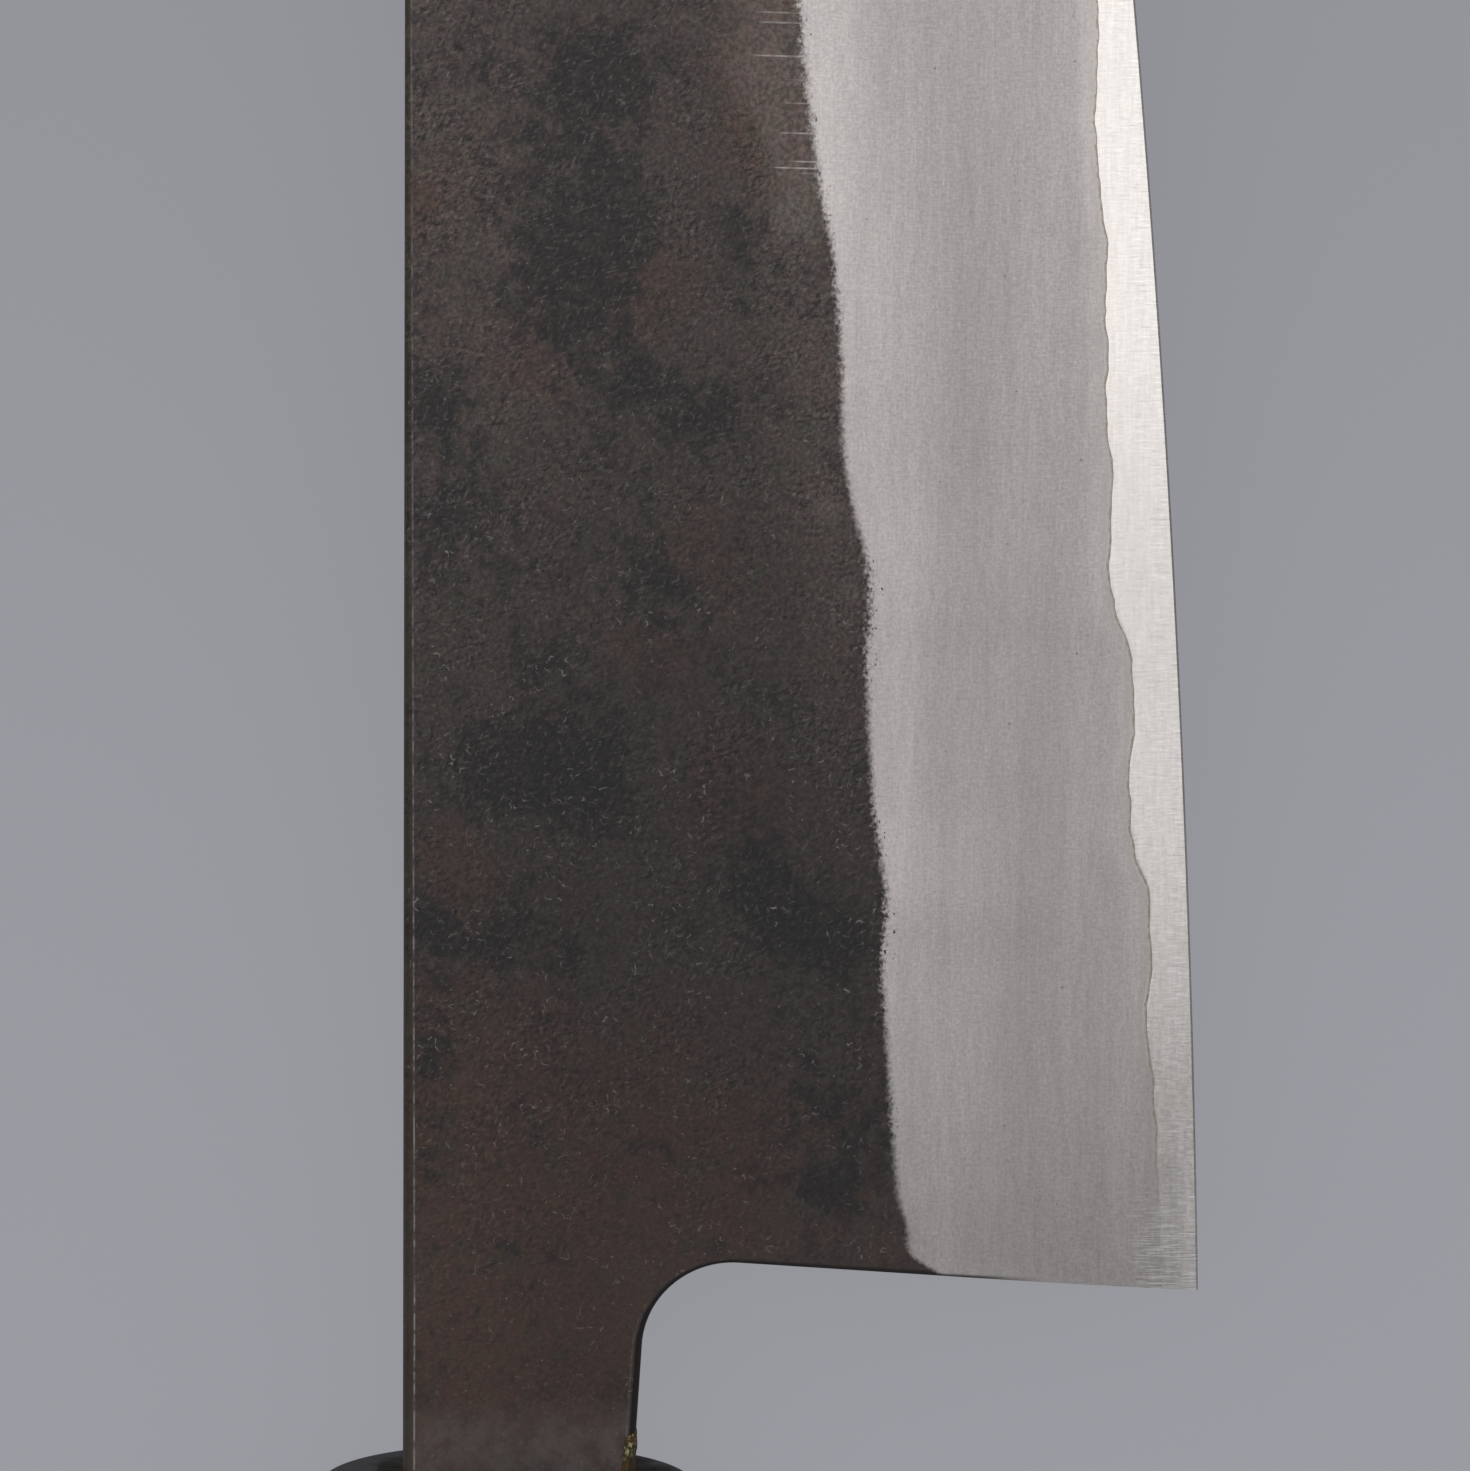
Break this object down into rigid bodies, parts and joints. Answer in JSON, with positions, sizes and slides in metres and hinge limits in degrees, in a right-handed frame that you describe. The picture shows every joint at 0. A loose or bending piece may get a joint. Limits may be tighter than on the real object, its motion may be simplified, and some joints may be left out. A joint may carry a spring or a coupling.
{
  "type": "santoku knife",
  "caption": "Japanese santoku kitchen knife with a three-layer forge-black blade, dark horn ferrule and oval wooden handle.",
  "frame": {"origin": "under the middle of the knife's box, on the level surface that the knife lies on with its blade level", "axes": "+X from the butt of the handle to the tip, -Y to the cutting edge, +Z out of the blade's right face, up"},
  "size_m": [0.307, 0.0548, 0.021],
  "materials": {
    "core_steel": "fine ground and polished carbon steel",
    "black_iron": "forge-black scale, with the lower bevel ground to bright brushed iron",
    "horn": "satin black buffalo horn",
    "magnolia": "bare sanded magnolia",
    "dowel_wood": "turned hardwood",
    "bedding_resin": "set amber resin",
    "seal_resin": "dark brown resin with yellow grains"
  },
  "bodies": {
    "root": {"core_steel": "core_steel", "right_cladding": "black_iron", "left_cladding": "black_iron", "ferrule": "horn", "handle_body": "magnolia", "joining_dowel": "dowel_wood", "tang_bedding": "bedding_resin", "mouth_seal": "seal_resin"}
  },
  "joints": []
}
